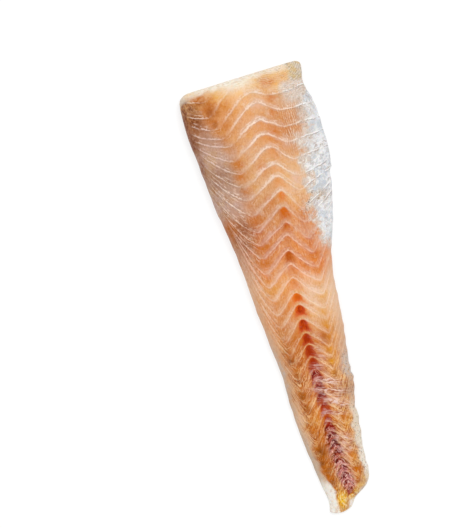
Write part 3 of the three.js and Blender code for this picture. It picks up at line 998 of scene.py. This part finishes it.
    def blood_line(self, flesh):
        """Dark bars with lilac between them, purple flesh with dark and pale strands, and torn shreds with
        painted shade between their strands.
        """
        bars, lilac, torn = self.at("bars"), self.at("lilac"), self.at("torn")
        thread = self.hatch.off(0.56).rise(0.035, 0.01)
        lilac_flesh = self.mix(self.blotches.rise(0.42, 0.58), (182, 138, 148), (228, 182, 172))
        dark_flesh = self.mix(self.blotches.rise(0.4, 0.6), (120, 26, 10), (160, 50, 20))
        ladder = (self.part + self.mottle.swing(1.4)).rise(0.3, 0.6)
        purple_flesh = self.layers(
            self.ramp((0.82, 104, 26, 14), (0.9, 128, 54, 46)),
            (ladder, self.ramp((0.82, 160, 62, 44), (0.87, 172, 86, 74), (0.91, 196, 116, 108))),
            (self.blotches.rise(0.5, 0.62, 0, 0.5), (190, 134, 134)),
            (self.hatch.rise(0.45, 0.37), (98, 30, 28)),
            (thread * 0.9, (246, 200, 184)))
        flesh = self.layers(
            flesh,
            (lilac.patchy(self.shreds, 1.8) * 0.7, lilac_flesh),
            (bars.patchy(self.mottle, 1.2) * 0.92, dark_flesh),
            (self.at("purple").soft(self.blotches, 0.8) * 0.95, purple_flesh))
        strung = bars.larger(lilac)
        flesh = self.tint(strung * self.hatch.rise(0.46, 0.38), flesh, (0.7, 0.5, 0.5))
        flesh = self.layers(
            flesh,
            (strung * thread * 0.5, (240, 190, 164)),
            (torn * 0.45, (222, 180, 162)),
            (torn * self.shreds.rise(0.48, 0.56) * 0.95, (244, 218, 208)))
        # Painted shade between the strands of the torn shreds
        return self.tint(torn.rise(0.05, 0.5) * self.shreds.rise(0.45, 0.38), flesh, (0.66, 0.44, 0.34))

    def ends(self, flesh):
        """Pale film on the head cut and the tail, the golden tail tip, and the grey nub of the head."""
        film = self.at("film")
        pale = self.ramp(
            (0.03, 248, 240, 224), (0.6, 230, 216, 200), (0.8, 230, 219, 200), (0.95, 246, 240, 230))
        flesh = self.mix(film * self.mottle.rise(0.3, 0.55, 0.55, 1.0), flesh, pale)
        waves = self.station * (LENGTH / 0.8) + self.blotches.swing(6)
        waves = self.strands(waves, length=5, detail=1)
        folds = film * self.station.rise(0.06, 0.03)
        flesh = self.tint(folds * waves.rise(0.5, 0.38, 0, 0.7), flesh, (0.82, 0.76, 0.66))
        tip = self.station.rise(0.94, 0.96) * self.at("golden").rise(0.1, 0.5)
        flesh = self.strokes(
            flesh, tip, self.fibres,
            (0.5, 0.38, 0.6, (0.95, 0.74, 0.4)), (0.52, 0.62, 0.55, (255, 240, 200)))
        nub = self.mix(self.blotches.rise(0.4, 0.6), (214, 188, 142), (210, 200, 184))
        return self.mix(self.at("nub") * 0.9, flesh, nub)

    def ripples(self, flesh):
        """Pale, stained veil over the flesh towards the belly flap, and its fine ridges along the fillet."""
        veiled = self.mix(self.station.rise(0.17, 0.2), (226, 208, 194), (214, 202, 192))
        flesh = self.mix(self.at("veil").soft(self.blotches, 0.6), flesh, veiled)
        flesh = self.mix(self.at("stain") * 0.5, flesh, (180, 150, 132))
        ridged = self.at("ripples") * self.blotches.rise(0.35, 0.6, 0.3, 1.0)
        ridged = ridged * self.flecks.rise(0.35, 0.55, 0.35, 1.0)
        return self.strokes(
            flesh, ridged, self.ridges,
            (0.5, 0.05, 0.65, (0.72, 0.6, 0.5)), (0.6, 1.0, 0.5, (246, 232, 216)))

    def seams(self, flesh):
        """White line along each seam, sharp on its tail side and shaded behind, with a pale band and in parts
        a second line on its head side."""
        band = self.at("band") * self.uneven.rise(0.3, 0.6, 0.5, 1.0)
        band = band * self.before.rise(4.0, 0.5).larger(self.after.rise(2.4, 0.2, 0, 0.6))
        pale = self.ramp(
            (0.2, 230, 202, 188), (0.3, 226, 192, 174), (0.35, 212, 166, 152), (0.42, 214, 164, 148),
            (0.5, 246, 210, 184), (0.7, 220, 166, 136))
        flesh = self.mix(band, flesh, pale)

        # How far the line reaches behind and ahead of the seam, and where it is whole
        width = self.at("width") * self.flecks.rise(0.35, 0.65, 0.5, 1.4)
        behind = self.after.rise(width * 0.8, width * 0.3)
        reach = width * self.uneven.rise(0.35, 0.65, 0.6, 1.9)
        ahead = self.before.rise(reach, reach * 0.4)
        weakest = self.station.span(0.27, 0.31, 0.4, 0.46).rise(0.0, 1.0, 0.4, 0.1)
        whole = self.uneven.rise(0.32, 0.52, weakest, 1.0) * self.mottle.rise(0.34, 0.5, 0.55, 1.0)
        whole = whole.larger(self.tail * 0.9)
        off_second = self.before.off(2.3)
        second = off_second.rise(0.6, 0.15) * self.blotches.rise(0.48, 0.58)
        second = second * self.at("wedge").rise(0.3, 0.05, 0, 0.7)
        share = self.at("line")
        line = behind.larger(ahead).larger(second) * share * whole

        # Painted shade behind each white line: a darker reddish rim, also round the second line, and in the
        # head part a cool grey shade
        rim = self.after.rise(2.0, 0.8).larger(off_second.rise(1.0, 0.3)) * share
        rim = rim * self.mottle.rise(0.42, 0.58) * self.station.rise(0.3, 0.35)
        rim = rim * self.station.rise(0.5, 0.44, self.tail * 0.9, 1.0)
        flesh = self.tint(rim * 0.7, flesh, (0.82, 0.58, 0.5))
        shade = self.after.rise(2.3, 1.0) * share * self.station.rise(0.36, 0.3, 0, 0.8)
        flesh = self.tint(shade, flesh, (0.84, 0.88, 0.96))
        white = self.ramp(
            (0.05, 252, 226, 204), (0.28, 254, 228, 206), (0.35, 242, 196, 172), (0.43, 246, 196, 168),
            (0.53, 252, 218, 190), (0.7, 255, 218, 178))
        white = self.mix(self.at("grey") * self.station.rise(0.3, 0.15), white, (240, 208, 194))
        return self.mix(line * 0.97, flesh, white)

    def membrane(self, flesh):
        """Silvery membrane with its torn border and creases, white lines at the seams with painted shadow
        lines behind them, painted glints and dark specks.
        """
        inside = self.at("membrane") + self.mottle.swing(9) + self.blotches.swing(13) + self.patches.swing(8)
        fringe = inside.rise(-8, 1) * self.flecks.rise(0.38, 0.56, 0.15, 0.9)
        covered = inside.rise(-1, 4)
        wrinkled = self.station.rise(0.16, 0.2, 0.5, 1.0)
        flecked = self.flecks.rise(0.46, 0.34) * self.blotches.rise(0.4, 0.56, 0.4, 1.0)
        silver = self.layers(
            self.mix(self.patches.rise(0.4, 0.6), (206, 212, 219), (236, 238, 241)),
            (wrinkled * self.mottle.rise(0.5, 0.62, 0, 0.6), (250, 250, 250)),
            (self.blotches.rise(0.52, 0.68, 0, 0.6), (214, 204, 194)),
            (self.at("stain").soft(self.mottle), (206, 184, 162)),
            (flecked * wrinkled * 0.4, (158, 146, 138)))

        # Over the silver lie creases across it, and at the seams white lines with painted shadow lines on
        # their tail side
        veil = self.at("veil")
        crinkles = self.station * (LENGTH / 1.5) + self.side * 0.25 + self.blotches.swing(7)
        crinkles = self.strands(crinkles, length=5, detail=2)
        skin = (covered * 0.5).larger(veil * wrinkled)
        creased = skin * crinkles.rise(0.47, 0.38) * self.patches.rise(0.4, 0.55, 0.3, 1.0)
        seam_fold_and_shadow = covered.larger(veil) * self.uneven.rise(0.4, 0.52) * self.station.rise(0.35, 0.31, 0.2, 1.0)
        # Pale dots on the veil near the head are painted glints; the dark dots beside them are specks
        glint_and_speck_dots = veil * self.station.rise(0.13, 0.09)
        return self.layers(
            flesh,
            (fringe, (222, 206, 192)),
            (covered * 0.95, silver),
            (creased * 0.5, (164, 140, 124)),
            (skin * crinkles.rise(0.54, 0.64, 0, 0.7), (252, 248, 244)),
            (seam_fold_and_shadow * self.before.rise(1.6, 0.5) * 0.85, (252, 250, 248)),
            # Painted shadow line on the tail side of each seam's white line
            (seam_fold_and_shadow * self.after.rise(1.1, 0.2) * 0.6, (150, 132, 118)),
            # Pale dots: painted glints
            (glint_and_speck_dots * self.flecks.rise(0.56, 0.66, 0, 0.6), (252, 248, 242)),
            (glint_and_speck_dots * self.flecks.rise(0.47, 0.35, 0, 0.5), (158, 138, 120)),
            (self.at("specks") * self.flecks.rise(0.56, 0.66) * 0.8, (112, 82, 62)))

    def surface(self):
        """The finished material; the tail and the dark wedges are duller than the rest."""
        flesh = self.muscle()
        for layer in (
            self.grown, self.places, self.spine, self.ends, self.ripples, self.seams, self.membrane,
        ):
            flesh = layer(flesh)
        rough = self.grain * 0.5 + self.fibres * 0.7
        rough = rough + self.wisps * self.tail + self.ridges * self.at("ripples")
        gloss = self.tail.larger(self.at("wedge")).rise(0.0, 1.0, GLOSS, DULL_GLOSS)
        roughness = self.grain.rise(0.2, 0.8, 0.34, 0.48)
        return self.finish(flesh, roughness, gloss, self.bump(rough, strength=0.4, distance=0.35 * MM))


def skin_side_material():
    """Underside, where the skin was: silvery tan, with faint stripes along the fillet."""
    tree = Tree("fillet_skin_side")
    stripes = tree.noise(6, 3, stretch=(1, 0.12, 1))
    mottle = tree.noise(2.5, 3)
    base = tree.mix(stripes.rise(0.35, 0.7), (214, 186, 160), (232, 220, 206))
    base = tree.mix(mottle.rise(0.55, 0.8, 0, 0.4), base, (190, 140, 104))
    roughness = mottle.rise(0.2, 0.8, 0.34, 0.46)
    return tree.finish(base, roughness, GLOSS, tree.bump(mottle, strength=0.25, distance=0.3 * MM))


# Stage, camera and lights

FRAME_LONG_SIDE = 423.0  # millimetres of the fillet's plane that the picture's longer side shows
FRAME_TURN = math.radians(-14.07)
FRAME_MIDDLE = (-40.2, 33.4)
CAMERA_HEIGHT = 5.0
SENSOR = 36.0
SURROUND_LIGHT = 0.68  # of the world, and of the floor's own glow


def make_floor():
    half = 3.0
    drop = -0.0003
    mesh = bpy.data.meshes.new("floor")
    corners = [(-half, -half, drop), (half, -half, drop), (half, half, drop), (-half, half, drop)]
    mesh.from_pydata(corners, [], [(0, 1, 2, 3)])
    material = bpy.data.materials.new("floor")
    material.use_nodes = True
    shader = material.node_tree.nodes["Principled BSDF"]
    shader.inputs["Base Color"].default_value = (0.3, 0.3, 0.3, 1)
    shader.inputs["Emission Color"].default_value = (1, 1, 1, 1)
    shader.inputs["Emission Strength"].default_value = SURROUND_LIGHT
    shader.inputs["Roughness"].default_value = 0.9
    shader.inputs["Specular IOR Level"].default_value = 0.1
    mesh.materials.append(material)
    return new_object("floor", mesh)


def make_camera():
    data = bpy.data.cameras.new("camera")
    data.sensor_width = SENSOR
    data.lens = SENSOR * CAMERA_HEIGHT / (FRAME_LONG_SIDE * MM)
    camera = new_object("camera", data)
    camera.location = (FRAME_MIDDLE[0] * MM, FRAME_MIDDLE[1] * MM, CAMERA_HEIGHT)
    camera.rotation_euler = (0, 0, FRAME_TURN)
    bpy.context.scene.camera = camera


def make_lights():
    world = bpy.data.worlds.new("studio")
    world.use_nodes = True
    background = world.node_tree.nodes["Background"]
    background.inputs["Color"].default_value = (1, 1, 1, 1)
    background.inputs["Strength"].default_value = SURROUND_LIGHT
    bpy.context.scene.world = world
    for name, place, size, power in (
        ("key", (1.7, 1.3, 3.3), 2.0, 80.0),
        ("fill", (-2.2, 0.2, 3.2), 2.5, 34.0),
    ):
        data = bpy.data.lights.new(name, "AREA")
        data.size = size
        data.energy = power
        light = new_object(name, data)
        light.location = place
        light.rotation_euler = (-light.location).to_track_quat("-Z", "Y").to_euler()


bpy.context.scene.view_settings.view_transform = "Standard"
make_camera()
make_lights()
make_floor()

fillet = make_fillet()
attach(fillet, "root")
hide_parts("fillet")
